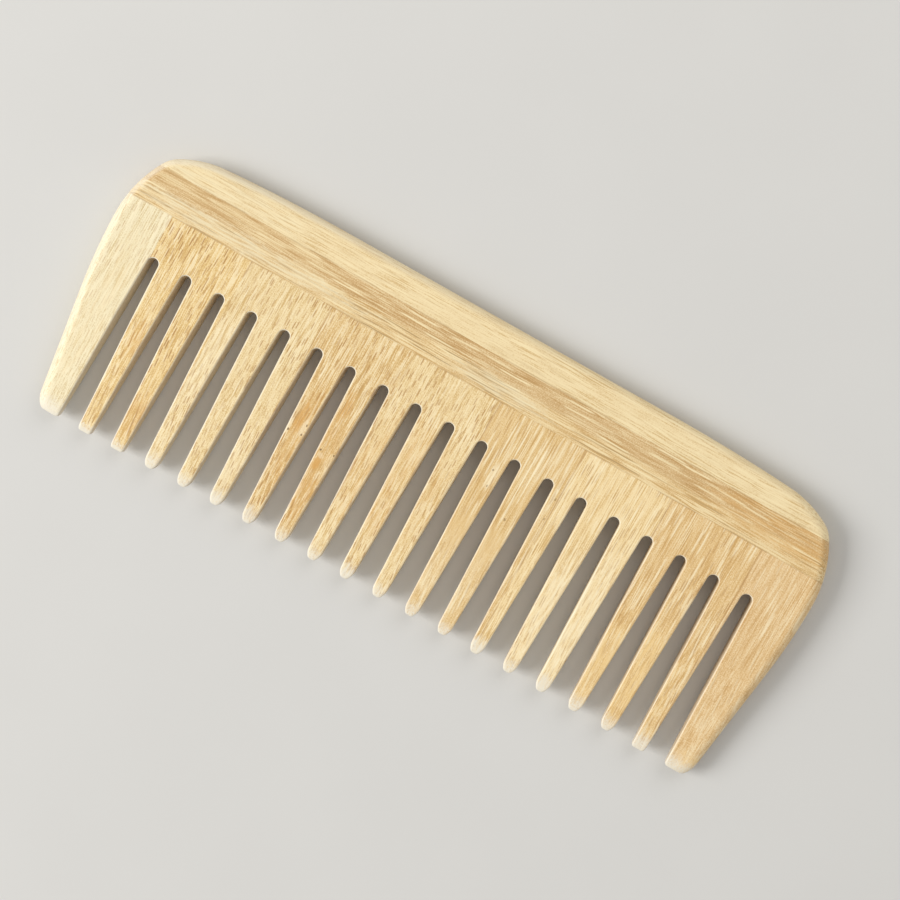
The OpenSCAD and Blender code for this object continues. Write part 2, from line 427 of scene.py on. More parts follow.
# How a strip's grain looks. It runs along Y on the tooth strips and along X on the spine's.
# Lengths are in millimetres, as is how far the grain wavers, and strengths are from 0 to 1
Grain = namedtuple("Grain", "node turn seed waver fibres fibre_l dashes dash_l pale pale_l pale_w mottle")
ALONG_COMB = math.radians(90)
ALONG_TEETH = 0
GRAINS = [
    Grain("spine_edge_strip", ALONG_COMB, 11, 0.45, 0.80, 9, 0.25, 7, 0.60, 8, 0.36, 0.60),
    Grain("spine_inner_strip", ALONG_COMB, 23, 0.35, 0.90, 8, 1.00, 11, 0.85, 8, 0.34, 0.85),
    Grain("tooth_strip_1", ALONG_TEETH, 31, 0.06, 0.62, 7, 0.40, 1.9, 0.30, 6, 0.30, 0.90),
    Grain("tooth_strip_2", ALONG_TEETH, 47, 0.06, 0.80, 6.5, 1.00, 2.3, 0.40, 6, 0.30, 0.95),
    Grain("tooth_strip_3", ALONG_TEETH, 53, 0.06, 0.72, 5.5, 0.80, 1.9, 0.35, 5, 0.28, 1.00),
    Grain("tooth_strip_4", ALONG_TEETH, 67, 0.08, 0.88, 6.5, 1.00, 2.3, 0.45, 6, 0.32, 1.00),
    Grain("tooth_strip_5", ALONG_TEETH, 71, 0.06, 0.75, 6, 0.80, 1.9, 0.35, 5, 0.28, 0.90),
    Grain("tooth_strip_6", ALONG_TEETH, 83, 0.10, 0.60, 9, 0.45, 3.0, 0.55, 7, 0.38, 0.70),
    Grain("tooth_strip_7", ALONG_TEETH, 97, 0.10, 0.80, 8, 0.55, 3.0, 0.40, 6, 0.34, 0.65),
    Grain("tooth_strip_8", ALONG_TEETH, 101, 0.10, 0.65, 8, 0.60, 3.0, 0.60, 6, 0.36, 0.80),
    Grain("tooth_strip_9", ALONG_TEETH, 113, 0.10, 0.55, 9, 0.30, 3.0, 0.40, 6, 0.34, 0.85),
]

# Marks that show on the front, where they lie and how large they are, in millimetres.
# A lean is in degrees, anticlockwise from the strip's own grain, and a tone is one of BambooTones
Mark = namedtuple("Mark", "node x y width length lean strength tone")
MARKS = [
    Mark("spine_inner_strip", -52.0, 17.2, 4.5, 76.0, 0, 0.7, "tooth_strip_1"),
    Mark("spine_inner_strip", -52.0, 20.8, 4.5, 66.0, 0, 0.4, "tooth_strip_3"),
    Mark("spine_inner_strip", 64.0, 20.0, 9.0, 44.0, 0, 0.45, "amber"),
    Mark("spine_inner_strip", 4.0, 17.2, 4.5, 28.0, 0, 0.6, "tooth_strip_1"),
    Mark("spine_edge_strip", -58.0, 25.0, 9.0, 50.0, 0, 0.4, "tooth_strip_1"),
    Mark("tooth_strip_1", -68.0, -6.0, 10.0, 44.0, 0, 0.35, "tooth_strip_3"),
    Mark("tooth_strip_2", -63.0, 13.2, 0.45, 4.5, 0, 0.6, "pale_fibre"),
    Mark("tooth_strip_2", -61.4, 12.6, 0.45, 5.5, 0, 0.6, "pale_fibre"),
    Mark("tooth_strip_2", -59.4, -20.4, 0.45, 11.0, 1, 0.45, "dash"),
    Mark("tooth_strip_2", -57.9, -19.0, 0.35, 9.0, 1, 0.35, "dash"),
    Mark("tooth_strip_2", -52.1, -21.7, 0.45, 9.0, 4, 0.75, "dash"),
    Mark("tooth_strip_2", -53.6, -20.0, 0.4, 8.0, 2, 0.65, "dash"),
    Mark("tooth_strip_2", -59.0, -8.0, 3.0, 10.0, 0, 0.4, "amber"),
    Mark("tooth_strip_2", -60.3, -21.5, 0.4, 9.0, 2, 0.5, "dash"),
    Mark("tooth_strip_2", -51.3, -20.5, 0.4, 8.0, 1, 0.65, "dash"),
    Mark("tooth_strip_2", -52.3, -20.5, 5.0, 14.0, 0, 0.4, "amber"),
    Mark("tooth_strip_3", -45.5, -5.0, 6.0, 22.0, 0, 0.5, "pale_fibre"),
    Mark("tooth_strip_3", -31.5, -20.0, 6.0, 16.0, 0, 0.4, "pale_fibre"),
    Mark("tooth_strip_3", -31.5, -27.0, 4.5, 6.0, 0, 0.7, "tip"),
    Mark("tooth_strip_4", -21.0, -9.0, 15.0, 34.0, 0, 0.4, "amber"),
    Mark("tooth_strip_4", -24.7, -5.6, 2.4, 8.0, 0, 0.85, "amber"),
    Mark("tooth_strip_4", -18.3, 0.0, 2.6, 9.0, 0, 0.5, "amber"),
    Mark("tooth_strip_4", -18.3, -11.5, 1.6, 4.5, 0, 0.8, "amber"),
    Mark("tooth_strip_4", -17.5, -19.0, 5.0, 14.0, 0, 0.4, "amber"),
    Mark("tooth_strip_4", -26.1, -7.8, 1.0, 5.0, 0, 0.5, "pale_fibre"),
    Mark("tooth_strip_4", -23.4, -7.0, 1.3, 5.0, 0, 0.5, "pale_fibre"),
    Mark("tooth_strip_4", -18.2, -10.0, 1.2, 1.6, 30, 0.35, "pale_fibre"),
    Mark("tooth_strip_4", -25.4, -4.6, 0.3, 4.5, 2, 0.5, "dash"),
    Mark("tooth_strip_4", -24.4, -4.2, 0.3, 3.0, 0, 0.5, "dash"),
    Mark("tooth_strip_4", -24.8, -8.4, 0.3, 2.6, -4, 0.4, "dash"),
    Mark("tooth_strip_4", -18.8, -0.4, 0.3, 3.5, 0, 0.6, "dash"),
    Mark("tooth_strip_4", -17.7, 0.2, 0.3, 3.0, 0, 0.6, "dash"),
    Mark("tooth_strip_4", -18.3, -4.6, 0.3, 3.0, 0, 0.5, "dash"),
    Mark("tooth_strip_4", -25.9, -8.6, 0.5, 0.7, 0, 0.9, "speck"),
    Mark("tooth_strip_4", -23.1, -6.4, 0.4, 0.7, 10, 0.8, "speck"),
    Mark("tooth_strip_4", -23.2, -8.4, 0.45, 0.6, 0, 0.8, "speck"),
    Mark("tooth_strip_4", -18.7, -9.0, 0.5, 0.6, 0, 0.9, "speck"),
    Mark("tooth_strip_4", -16.0, -8.8, 0.4, 0.6, 0, 0.8, "speck"),
    Mark("tooth_strip_4", -31.6, 11.5, 0.4, 6.5, 0, 0.6, "pale_fibre"),
    Mark("tooth_strip_4", -29.4, 12.0, 0.4, 5.5, 0, 0.6, "pale_fibre"),
    Mark("tooth_strip_4", -24.5, -27.0, 4.5, 7.0, 0, 0.95, "tip"),
    Mark("tooth_strip_5", -4.0, -8.0, 24.0, 34.0, 0, 0.35, "amber"),
    Mark("tooth_strip_5", -3.5, -27.0, 4.5, 7.0, 0, 0.85, "tip"),
    Mark("tooth_strip_6", 14.0, -9.0, 16.0, 11.0, 0, 0.6, "tooth_strip_6"),
    Mark("tooth_strip_6", 6.0, 10.5, 0.4, 7.0, 0, 0.5, "pale_fibre"),
    Mark("tooth_strip_6", 10.7, 10.0, 0.45, 9.0, 0, 0.7, "pale_fibre"),
    Mark("tooth_strip_6", 11.7, 8.6, 0.4, 8.0, 0, 0.5, "pale_fibre"),
    Mark("tooth_strip_6", 13.2, 10.0, 0.45, 9.0, 0, 0.7, "pale_fibre"),
    Mark("tooth_strip_6", 16.7, 6.6, 0.45, 16.0, 0, 0.75, "pale_fibre"),
    Mark("tooth_strip_6", 17.8, 6.6, 0.45, 16.0, 0, 0.75, "pale_fibre"),
    Mark("tooth_strip_6", 22.8, 10.8, 0.4, 7.6, 0, 0.6, "pale_fibre"),
    Mark("tooth_strip_6", 11.3, 2.2, 2.0, 7.0, 0, 0.45, "pale_fibre"),
    Mark("tooth_strip_6", 8.7, 5.6, 0.3, 4.5, -3, 0.6, "dash"),
    Mark("tooth_strip_6", 11.9, 1.4, 0.3, 3.4, 8, 0.5, "dash"),
    Mark("tooth_strip_6", 11.0, 3.5, 0.5, 0.6, 0, 0.6, "speck"),
    Mark("tooth_strip_6", 11.4, 0.4, 0.4, 0.7, 0, 0.6, "speck"),
    Mark("tooth_strip_6", 17.3, -3.4, 0.5, 0.8, 20, 0.6, "speck"),
    Mark("tooth_strip_6", 23.1, 4.2, 0.5, 3.4, 0, 0.4, "dash"),
    Mark("tooth_strip_6", 23.6, 4.4, 0.4, 0.8, 0, 0.5, "speck"),
    Mark("tooth_strip_6", 23.6, 0.3, 0.4, 0.8, 0, 0.5, "speck"),
    Mark("tooth_strip_6", 14.0, -18.0, 16.0, 24.0, 0, 0.3, "pale_fibre"),
    Mark("tooth_strip_6", 24.5, -27.0, 4.5, 7.0, 0, 0.95, "tip"),
    Mark("tooth_strip_7", 36.0, -14.0, 18.0, 36.0, 0, 0.65, "pale_fibre"),
    Mark("tooth_strip_7", 27.5, 4.0, 0.2, 20.0, 0, 0.3, "dash"),
    Mark("tooth_strip_7", 24.5, -27.0, 4.5, 7.0, 0, 0.95, "tip"),
    Mark("tooth_strip_7", 38.5, -27.0, 4.5, 7.0, 0, 1.0, "tip"),
    Mark("tooth_strip_8", 50.0, -18.0, 24.0, 32.0, 0, 0.65, "honey"),
    Mark("tooth_strip_9", 60.0, -18.0, 9.0, 32.0, 0, 0.65, "honey"),
    Mark("tooth_strip_9", 61.0, 6.0, 0.2, 16.0, 0, 0.35, "dash"),
    Mark("tooth_strip_9", 69.0, -27.5, 8.0, 9.0, 0, 0.9, "honey"),
]

# A mark wider than this many millimetres follows the fibres. Each one goes in this deep from the front.
# The cells of its ragged border have this width, length and depth, and the border strays this much
BROAD = 2
MARK_DEPTH = 3.5 * MM
MARK_CELLS = (0.3 * MM, 0.8 * MM, MM)
MARK_RAGGED = 0.9

# Noise drawn out along the grain: the width and length of its cells in millimetres, its seed, which is
# added to the strip's own, and its detail
Streak = namedtuple("Streak", "width length seed detail", defaults=(2.0,))
WANDER = Streak(9, 26, 0)
WAVER = Streak(2.5, 7, 9)
CALM = Streak(4, 12, 8)
PATCHES = Streak(5, 14, 5)
BANDS = Streak(9, 30, 1)
STRIPES = Streak(1.8, 20, 2)
MOTTLE = Streak(0.2, 0.26, 6)
STAIN_FIBRES = Streak(0.4, 5, 0)
TIP_RAGGED = Streak(0.35, 0.5, 3, 4.0)
TIP_UNEVEN = Streak(5, 9, 5)
TIP_GRIT = Streak(0.22, 0.3, 4, 3.0)
FIBRE_W = 0.38
FINE_W = 0.2
# Length of a fine fibre, as a share of a coarse one's
FINE_L_SHARE = 0.8
# How far the noise is moved along each axis for each step of its seed
SEED_STEP = (1.37, 2.11, 0.73)
# The fibres' slow wander, as a multiple of their quick waver
WANDER_SHARE = 2.4
# How far the fibre lines move sideways with depth, so that they don't run straight down a side
DEPTH_SHIFT = 0.83

# How much each layer of noise adds to the shade of the wood, and how much each one adds to its relief.
# Then the relief's height and strength, and the gloss
BAND_SHADE = 0.6
STRIPE_SHADE = 0.6
FIBRE_SHADE = 2.0
FINE_SHADE = 6.6
MOTTLE_SHADE = 3.6
FINE_RELIEF = 0.4
DARK_RELIEF = -0.6
PALE_RELIEF = 0.4
RELIEF = 0.04 * MM
RELIEF_STRENGTH = 0.5
DARK_ROUGHNESS = 0.52
PALE_ROUGHNESS = 0.38
BAMBOO_IOR = 1.46

# Fibre lines: their spacing and the dark ones' width in millimetres, and the share of them that shows.
# The pale ones' width is in each strip's row
PALE_SPACING = 1.1
PALE_SHOWN = 0.8
DARK_SPACING = 0.6
DARK_W = 0.24
DARK_SHOWN = 0.95
# Length of the cell that a line lies in, as a multiple of the line's
CELL_SHARE = 1.35

# Where the border between the brown and the yellow half of the spine's inner strip lies, from the strip's
# middle, and how far it strays
TWO_TONED = "spine_inner_strip"
BORDER_LOW = -0.9 * MM
BORDER_HIGH = 0.3 * MM
BORDER_STRAY = 2.5 * MM

# Glue lines: the size of the stretches that show, how far a line reaches and how far it is at its darkest,
# to each side, and its strength
GLUE_STRETCH = 7 * MM
GLUE_END = 0.2 * MM
GLUE_CORE = 0.05 * MM
GLUE_STRENGTH = 0.45

# How far from the tips the wood starts to wear white, on most strips and on those whose tips stay browner,
# how far from them it is white, and how much the border strays
TIP_WORN_L = 4.1 * MM
BROWN_TIP_WORN_L = 2.6 * MM
BROWN_TIPPED = ["tooth_strip_2"]
TIP_WHITE_L = 0.6 * MM
TIP_RAGGED_L = 3.6 * MM
TIP_UNEVEN_L = 2 * MM

# What a part of a surface's normal tells: nothing at the first value, and all of it at the second
OFF_FACE = (0.99, 0.85)
OFF_SIDE = (0.12, 0.45)
SAWN_SIDE = (0.3, 0.1)
END_GRAIN = (0.15, 0.55)
SIDE_GRAIN = (0.85, 0.5)
LEFTWARD = (0.3, -0.3)
# The stretch with slots in it starts between these two places at each end of the comb
SLOTTED = (HIGH.x - 6 * MM, HIGH.x - 8 * MM)

# How strongly the edges wear: all of them, plus a painted highlight on those to the left, more wear at the
# slots' ends, and a painted highlight towards the rim's left end.
# Then how dark the sawn sides are painted, for their dull sawn tone and for the shade inside the slots
EDGE_WEAR = 0.12
LEFT_HIGHLIGHT = 0.35
END_WEAR = 0.4
RIM_HIGHLIGHT = 0.4
SAWN_SHADE_STRENGTH = 0.6


class Nodes:
    """Builds one material, node by node"""

    def __init__(self, name):
        self.material = bpy.data.materials.new(name)
        self.material.use_nodes = True
        self.tree = self.material.node_tree
        self.tree.nodes.clear()

    def add(self, kind, inputs, **settings):
        node = self.tree.nodes.new(kind)
        for name, value in settings.items():
            setattr(node, name, value)
        for socket, value in inputs.items():
            if isinstance(value, bpy.types.NodeSocket):
                self.tree.links.new(value, node.inputs[socket])
            else:
                node.inputs[socket].default_value = value
        return node

    def math(self, operation, first, second=0.0, third=0.0):
        return self.add("ShaderNodeMath", {0: first, 1: second, 2: third}, operation=operation).outputs[0]

    def vector(self, operation, first, second):
        return self.add("ShaderNodeVectorMath", {0: first, 1: second}, operation=operation).outputs["Vector"]

    def axis(self, vector, name):
        return self.add("ShaderNodeSeparateXYZ", {"Vector": vector}).outputs[name]

    def mapped(self, vector, place=(0, 0, 0), turn=0.0, scale=(1, 1, 1), kind="POINT"):
        inputs = {"Vector": vector, "Location": place, "Rotation": (0, 0, turn), "Scale": scale}
        return self.add("ShaderNodeMapping", inputs, vector_type=kind).outputs["Vector"]

    def clamped(self, operation, first, second=0.0):
        """A sum or product kept between 0 and 1"""
        settings = {"operation": operation, "use_clamp": True}
        return self.add("ShaderNodeMath", {0: first, 1: second}, **settings).outputs[0]

    def step(self, value, low, high):
        """0 below low and 1 above high, or the other way round where high is the lower one"""
        ends = (0.0, 1.0) if low < high else (1.0, 0.0)
        inputs = {"Value": value, "From Min": min(low, high), "From Max": max(low, high),
                  "To Min": ends[0], "To Max": ends[1]}
        return self.add("ShaderNodeMapRange", inputs, interpolation_type="SMOOTHSTEP").outputs["Result"]

    def between(self, share, first, last):
        """A value that goes from first, where the share is 0, to last, where it is 1"""
        return self.math("MULTIPLY_ADD", share, last - first, first)

    def mix(self, factor, first, second, blend="MIX"):
        """Mixes two colours. A plain number as factor or a plain colour is fine"""
        inputs = {"Factor": factor, 6: four(first), 7: four(second)}
        return self.add("ShaderNodeMix", inputs, data_type="RGBA", blend_type=blend).outputs[2]

    def noise(self, vector, detail):
        inputs = {"Vector": vector, "Scale": 1.0, "Detail": detail, "Roughness": 0.5}
        return self.add("ShaderNodeTexNoise", inputs).outputs["Fac"]


def four(colour):
    """A plain colour with its alpha. A socket stays as it is"""
    return colour if isinstance(colour, bpy.types.NodeSocket) else (*colour, 1.0)


def streaks(nodes, grain, streak, seed=0):
    """Noise drawn out along the grain, from -0.5 to 0.5. This seed is added to its own"""
    seed += streak.seed
    shift = [seed * step for step in SEED_STEP]
    scale = (1 / (streak.width * MM), 1 / (streak.length * MM), 1 / (streak.width * MM))
    noise = nodes.noise(nodes.mapped(grain, shift, scale=scale), streak.detail)
    return nodes.math("SUBTRACT", noise, 0.5)


def lines(nodes, flat_grain, spacing, length, width, share, seed):
    """Slim lines along the grain, staggered at this spacing. This share of them shows, each at its own
    strength"""
    cell_l = CELL_SHARE * length
    scale = (1 / (spacing * MM), 1 / (cell_l * MM), 1)
    vector = nodes.mapped(flat_grain, (seed * 3.1, seed * 1.7, 0), scale=scale)
    cells = nodes.add("ShaderNodeTexVoronoi", {"Vector": vector, "Scale": 1.0}, voronoi_dimensions="2D")
    from_centre = nodes.vector("SUBTRACT", vector, cells.outputs["Position"])
    offset = nodes.vector("ABSOLUTE", from_centre, (0, 0, 0))
    half_w = width / 2 / spacing
    half_l = length / 2 / cell_l
    within = nodes.step(nodes.axis(offset, "X"), half_w * 1.4, half_w * 0.3)
    within = nodes.math("MULTIPLY", within, nodes.step(nodes.axis(offset, "Y"), half_l, half_l * 0.5))
    chosen = nodes.step(nodes.axis(cells.outputs["Color"], "X"), share, share * 0.4)
    return nodes.math("MULTIPLY", within, chosen)


def tone_of(nodes, look, tones, place, wander):
    """The strip's own tone, and the strength that its pale and its dark lines have at a place"""
    tone = getattr(tones, look.node)
    if look.node != TWO_TONED:
        return tone, 1.0, 1.0
    low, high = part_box(look.node)
    middle = (low.y + high.y) / 2
    wavy = nodes.math("MULTIPLY_ADD", wander, BORDER_STRAY, nodes.axis(place, "Y"))
    brown = nodes.step(wavy, middle + BORDER_LOW, middle + BORDER_HIGH)
    pale_strength = nodes.between(brown, 0.8, 1.0)
    dark_strength = nodes.between(brown, 1.35, 0.4)
    return nodes.mix(brown, tones.spine_inner_low, tone), pale_strength, dark_strength


def grain_of(nodes, turned, wander, look):
    """The way the fibres run: along Y, wavering. And the same with no depth, for the fibre lines"""
    waver = streaks(nodes, turned, WAVER, look.seed)
    sway = nodes.math("MULTIPLY", wander, WANDER_SHARE * look.waver * MM)
    sway = nodes.math("MULTIPLY_ADD", waver, look.waver * MM, sway)
    sway = nodes.add("ShaderNodeCombineXYZ", {"X": sway}).outputs[0]
    grain = nodes.vector("ADD", turned, sway)
    across = nodes.math("MULTIPLY_ADD", nodes.axis(grain, "Z"), DEPTH_SHIFT, nodes.axis(grain, "X"))
    flat_grain = nodes.add("ShaderNodeCombineXYZ", {"X": across, "Y": nodes.axis(grain, "Y")}).outputs[0]
    return grain, flat_grain


def fibres_of(nodes, grain, look):
    """Coarse and fine fibres, calmer in some stretches and busier in others"""
    calm = nodes.step(streaks(nodes, grain, CALM, look.seed), -0.15, 0.15)
    busy = nodes.between(calm, 0.6, 1.4)
    coarse = streaks(nodes, grain, Streak(FIBRE_W, look.fibre_l, 3), look.seed)
    fine = streaks(nodes, grain, Streak(FINE_W, FINE_L_SHARE * look.fibre_l, 4), look.seed)
    return nodes.math("MULTIPLY", coarse, busy), nodes.math("MULTIPLY", fine, busy)


def shade_of(nodes, grain, coarse, fine, look):
    """How much darker, below 0, or paler, above 0, the wood is than its own tone"""
    shade = 0.0
    layers = [
        (streaks(nodes, grain, BANDS, look.seed), BAND_SHADE),
        (streaks(nodes, grain, STRIPES, look.seed), STRIPE_SHADE * look.fibres),
        (coarse, FIBRE_SHADE * look.fibres),
        (fine, FINE_SHADE * look.fibres),
        (streaks(nodes, grain, MOTTLE, look.seed), MOTTLE_SHADE * look.mottle),
    ]
    for layer, weight in layers:
        shade = nodes.math("MULTIPLY_ADD", layer, weight, shade)
    return shade


def bamboo(look, tones):
    """Sanded bamboo: soft bands, fibres, pale and dark fibre lines, marks, glue lines and worn edges, with
    painted highlights on edges that face left and painted shade on the slots' sawn sides
    """
    nodes = Nodes(look.node + "_bamboo")
    place = nodes.add("ShaderNodeTexCoord", {}).outputs["Object"]
    normal = nodes.add("ShaderNodeNewGeometry", {}).outputs["Normal"]
    turned = nodes.mapped(place, turn=look.turn)
    wander = streaks(nodes, turned, WANDER, look.seed)
    grain, flat_grain = grain_of(nodes, turned, wander, look)
    coarse, fine = fibres_of(nodes, grain, look)
    shade = shade_of(nodes, grain, coarse, fine, look)

    tone, pale_strength, dark_strength = tone_of(nodes, look, tones, place, wander)
    lengthwise = look.turn == ALONG_COMB
    pale_tone = tones.spine_pale if lengthwise else tones.pale_fibre
    dark_tone = tones.spine_line if lengthwise else tones.dash
    deep = nodes.mix(1.0, tone, tones.deep, "MULTIPLY")
    pale = nodes.mix(0.6, tone, pale_tone)
    colour = nodes.mix(nodes.clamped("MULTIPLY", shade, -1.0), tone, deep)
    colour = nodes.mix(nodes.clamped("MULTIPLY", shade, 1.0), colour, pale)

    facing_end = nodes.math("ABSOLUTE", nodes.axis(normal, "X" if lengthwise else "Y"))
    side_grain = nodes.step(facing_end, *SIDE_GRAIN)
    pale_lines = lines(nodes, flat_grain, PALE_SPACING, look.pale_l, look.pale_w, PALE_SHOWN, look.seed + 7)
    pale_lines = nodes.math("MULTIPLY", pale_lines, nodes.math("MULTIPLY", side_grain, pale_strength))
    colour = nodes.mix(nodes.math("MULTIPLY", pale_lines, look.pale), colour, pale_tone)

    dark_lines = lines(nodes, flat_grain, DARK_SPACING, look.dash_l, DARK_W, DARK_SHOWN, look.seed)
    patches = nodes.step(streaks(nodes, grain, PATCHES, look.seed), -0.12, 0.12)
    dark_lines = nodes.math("MULTIPLY", dark_lines, nodes.between(patches, 0.35, 1.0))
    dark_lines = nodes.math("MULTIPLY", dark_lines, nodes.math("MULTIPLY", side_grain, dark_strength))
    colour = nodes.mix(nodes.math("MULTIPLY", dark_lines, look.dashes), colour, dark_tone)

    for mark in MARKS:
        if mark.node == look.node:
            colour = marked(nodes, mark, turned, place, colour, look, getattr(tones, mark.tone))
    colour = glue_lines(nodes, look, place, colour, dark_tone)
    if not lengthwise:
        colour = worn_tips(nodes, look, place, colour, tones.tip)
    # Sanded edge wear, painted highlights on the left-facing edges and towards the rim's left end, and
    # painted shade on the slots' sawn sides
    colour = worn_edges_and_highlights(nodes, look, place, normal, colour, tones)

    relief = nodes.math("MULTIPLY_ADD", fine, FINE_RELIEF, coarse)
    relief = nodes.math("MULTIPLY_ADD", dark_lines, DARK_RELIEF, relief)
    relief = nodes.math("MULTIPLY_ADD", pale_lines, PALE_RELIEF, relief)
    bump = nodes.add("ShaderNodeBump", {"Height": relief, "Strength": RELIEF_STRENGTH, "Distance": RELIEF})
    roughness = nodes.add("ShaderNodeMapRange", {
        "Value": shade,
        "From Min": -1.0,
        "To Min": DARK_ROUGHNESS,
        "To Max": PALE_ROUGHNESS,
    })
    shader = nodes.add("ShaderNodeBsdfPrincipled", {
        "Base Color": colour,
        "Roughness": roughness.outputs["Result"],
        "Normal": bump.outputs["Normal"],
        "IOR": BAMBOO_IOR,
    })
    nodes.add("ShaderNodeOutputMaterial", {"Surface": shader.outputs["BSDF"]})
    return nodes.material


def marked(nodes, mark, turned, place, colour, look, tone):
    """A mark in the wood, ragged along its edge, that goes in a little way from the front. A broad one
    follows the fibres, unless it only smooths the strip's own tone"""
    centre = (mark.x * MM, mark.y * MM, FRONT_Z)
    half_size = (mark.width / 2 * MM, mark.length / 2 * MM, MARK_DEPTH)
    oval = nodes.mapped(place, centre, look.turn + math.radians(mark.lean), half_size, kind="TEXTURE")
    reach = nodes.add("ShaderNodeVectorMath", {0: oval}, operation="LENGTH").outputs["Value"]
    ragged = nodes.noise(nodes.mapped(turned, scale=[1 / size for size in MARK_CELLS]), 3.0)
    reach = nodes.math("MULTIPLY_ADD", ragged, -MARK_RAGGED, nodes.math("ADD", reach, MARK_RAGGED / 2))
    share = nodes.math("MULTIPLY", nodes.step(reach, 1.0, 0.45), mark.strength)
    if mark.width > BROAD and mark.tone != mark.node:
        fibrous = nodes.step(streaks(nodes, turned, STAIN_FIBRES, mark.x), -0.12, 0.14)
        share = nodes.math("MULTIPLY", share, nodes.between(fibrous, 0.2, 1.0))
    return nodes.mix(share, colour, tone)


def seams_of(look):
    """The glue lines round a strip, each as an axis and a place on it"""
    low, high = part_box(look.node)
    sides = [("Y", low.y, LOW.y), ("Y", high.y, HIGH.y)]
    if look.turn == ALONG_TEETH:
        sides += [("X", low.x, LOW.x), ("X", high.x, HIGH.x)]
    return [(axis, at) for axis, at, rim in sides if abs(at - rim) > MM]


def glue_lines(nodes, look, place, colour, tone):
    """Fine dark lines where the strip meets its neighbours, that come and go"""
    shown = nodes.step(nodes.noise(nodes.mapped(place, scale=(1 / GLUE_STRETCH,) * 3), 2.0), 0.42, 0.6)
    for axis, at in seams_of(look):
        distance = nodes.math("ABSOLUTE", nodes.math("SUBTRACT", nodes.axis(place, axis), at))
        line = nodes.math("MULTIPLY", nodes.step(distance, GLUE_END, GLUE_CORE), shown)
        colour = nodes.mix(nodes.math("MULTIPLY", line, GLUE_STRENGTH), colour, tone)
    return colour


def worn_tips(nodes, look, place, colour, tip):
    """Whitish sanded tips, with a ragged border and the grit of the wood still in them"""
    ragged = nodes.math("MULTIPLY", streaks(nodes, place, TIP_RAGGED), TIP_RAGGED_L)
    uneven = nodes.math("MULTIPLY_ADD", streaks(nodes, place, TIP_UNEVEN), TIP_UNEVEN_L, ragged)
    height = nodes.math("ADD", nodes.axis(place, "Y"), uneven)
    grit = nodes.math("MULTIPLY_ADD", streaks(nodes, place, TIP_GRIT), 1.8, 0.78)
    worn_l = BROWN_TIP_WORN_L if look.node in BROWN_TIPPED else TIP_WORN_L
    at_tip = nodes.step(height, TIPS_Y + worn_l, TIPS_Y + TIP_WHITE_L)
    return nodes.mix(nodes.clamped("MULTIPLY", at_tip, grit), colour, tip)


def worn_edges_and_highlights(nodes, look, place, normal, colour, tones):
    """Whitish eased edges: sanded wear on all of them and more at the slots' ends, and a painted highlight on
    the edges that face left and towards the rim's left end.
    Then the sawn sides of the slots, dulled by their own sawn tone and darkened with painted shade"""
    facing = nodes.math("ABSOLUTE", nodes.axis(normal, "Z"))
    eased = nodes.math("MULTIPLY", nodes.step(facing, *OFF_FACE), nodes.step(facing, *OFF_SIDE))
    # Painted highlight: eased edges are whitened most at the left end, fading out to the right, where the key
    # light from the left falls on the rim
    rim = nodes.math("MULTIPLY", nodes.step(nodes.axis(place, "X"), HIGH.x / 3, LOW.x), RIM_HIGHLIGHT)
    if look.turn == ALONG_COMB:
        return nodes.mix(nodes.math("MULTIPLY", eased, rim), colour, tones.tip)
    slotted = nodes.step(nodes.math("ABSOLUTE", nodes.axis(place, "X")), *SLOTTED)
    # The slots' sawn sides are dulled, partly for their own sawn tone and partly as painted shade for the
    # inside of the narrow slots
    sawn_and_shaded = nodes.math("MULTIPLY", slotted, nodes.step(facing, *SAWN_SIDE))
    colour = nodes.mix(nodes.math("MULTIPLY", sawn_and_shaded, SAWN_SHADE_STRENGTH), colour, tones.sawn_and_shaded)
    end_grain = nodes.step(nodes.math("ABSOLUTE", nodes.axis(normal, "Y")), *END_GRAIN)
    # Painted highlight: eased edges that face left, towards the key light, are whitened more than the others
    leftward = nodes.step(nodes.axis(normal, "X"), *LEFTWARD)
    wear_and_highlight = nodes.math("MULTIPLY_ADD", leftward, LEFT_HIGHLIGHT, EDGE_WEAR)
    wear_and_highlight = nodes.math("MULTIPLY_ADD", end_grain, END_WEAR, wear_and_highlight)
    wear_and_highlight = nodes.math("MULTIPLY_ADD", slotted, wear_and_highlight, rim)
    return nodes.mix(nodes.math("MULTIPLY", eased, wear_and_highlight), colour, tones.tip)


# Strips: each one is a copy of the board, cut at the glue lines either side of it

def cut_strip(context, look, left=False, right=False, below=False, above=False):
    """Copies the board and keeps what lies inside the strip's glue lines"""
    if BOARD not in bpy.data.objects:
        raise RuntimeError("Cut the board before its strips")
    select_only(bpy.data.objects[BOARD])
    bpy.ops.object.duplicate()
    strip = context.object
    strip.name = look.node + "_bamboo"
    low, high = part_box(look.node)
    low = low - Vector((SEAM_FILL, SEAM_FILL, 0))
    high = high + Vector((SEAM_FILL, SEAM_FILL, 0))
    cuts = [(left, low, (1, 0, 0), True), (right, high, (1, 0, 0), False),
            (below, low, (0, 1, 0), True), (above, high, (0, 1, 0), False)]
    for wanted, corner, normal, clear_inner in cuts:
        if wanted:
            bisect(strip, corner, normal, use_fill=True, clear_inner=clear_inner, clear_outer=not clear_inner)
    select_only(strip)
    bpy.ops.object.shade_smooth_by_angle(angle=SHARP)
    apply_modifier(strip, "WEIGHTED_NORMAL", keep_sharp=True)
    strip.data.materials.clear()
    strip.data.materials.append(bamboo(look, context.scene.comb_tones))
    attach(strip, "root")
    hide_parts(look.node)


